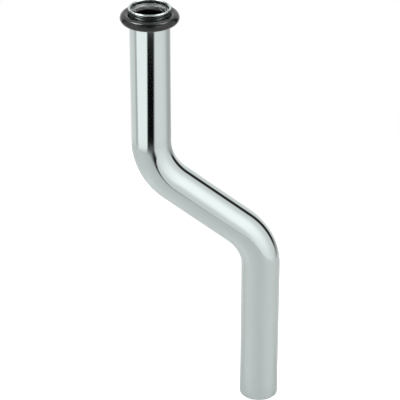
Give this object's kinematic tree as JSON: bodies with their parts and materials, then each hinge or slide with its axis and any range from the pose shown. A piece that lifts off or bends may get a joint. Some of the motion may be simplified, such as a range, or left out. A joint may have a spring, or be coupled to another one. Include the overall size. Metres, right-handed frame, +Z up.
{
  "type": "urinal flush pipe",
  "caption": "Thin chrome-plated tube bent into a shallow S, with a collared inlet mouth and a black rubber sealing ring under it; carries flush water from a valve down to a urinal.",
  "frame": {"origin": "centre of the inlet mouth, level with the top of its collar", "axes": "+Z up along the inlet leg as installed, +X towards the offset outlet leg, +Y across the plane of the bends"},
  "size_m": [0.072, 0.026, 0.2],
  "materials": {
    "chrome_plate": "polished chrome plate on brass",
    "seal_rubber": "smooth black moulded rubber"
  },
  "bodies": {
    "root": {"flush_pipe": "chrome_plate", "seal_ring": "seal_rubber"}
  },
  "joints": []
}
